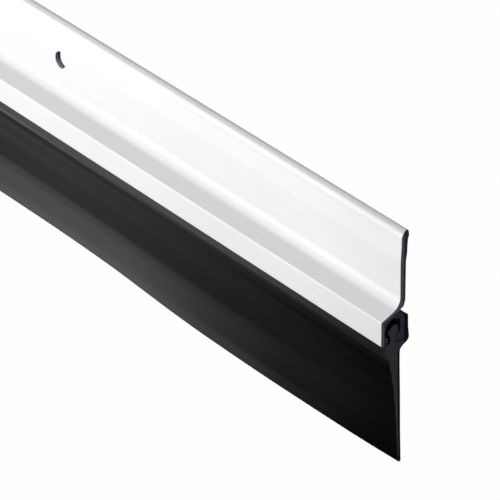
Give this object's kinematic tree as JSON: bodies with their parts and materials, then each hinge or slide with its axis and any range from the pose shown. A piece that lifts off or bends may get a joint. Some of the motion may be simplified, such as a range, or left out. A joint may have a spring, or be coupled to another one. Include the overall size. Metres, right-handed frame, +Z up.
{
  "type": "door sweep",
  "caption": "Surface-mounted door sweep: extruded aluminium carrier with a leaning top edge and a C channel holding a tapered rubber blade insert.",
  "frame": {"origin": "on the flat back face of the carrier's flange, at half length, at the height of the screw holes", "axes": "+X along the sweep, +Y towards the door it is screwed to, +Z up"},
  "size_m": [0.9144, 0.009, 0.0675],
  "materials": {
    "aluminium": "satin",
    "rubber": "satin"
  },
  "bodies": {
    "carrier": {"aluminium_carrier": "aluminium"},
    "insert": {"rubber_insert": "rubber"},
    "blade": {"rubber_blade": "rubber"}
  },
  "joints": [
    {"name": "insert_slide", "type": "slide", "parent": "carrier", "child": "insert", "axis": [1, 0, 0], "range_m": [0, 0.9]},
    {"name": "blade_flex", "type": "hinge", "parent": "insert", "child": "blade", "pos_m": [0, -0.0032, -0.0257], "axis": [1, 0, 0], "range_deg": [-45, 45], "stiffness_Nm_per_rad": 0.24}
  ]
}
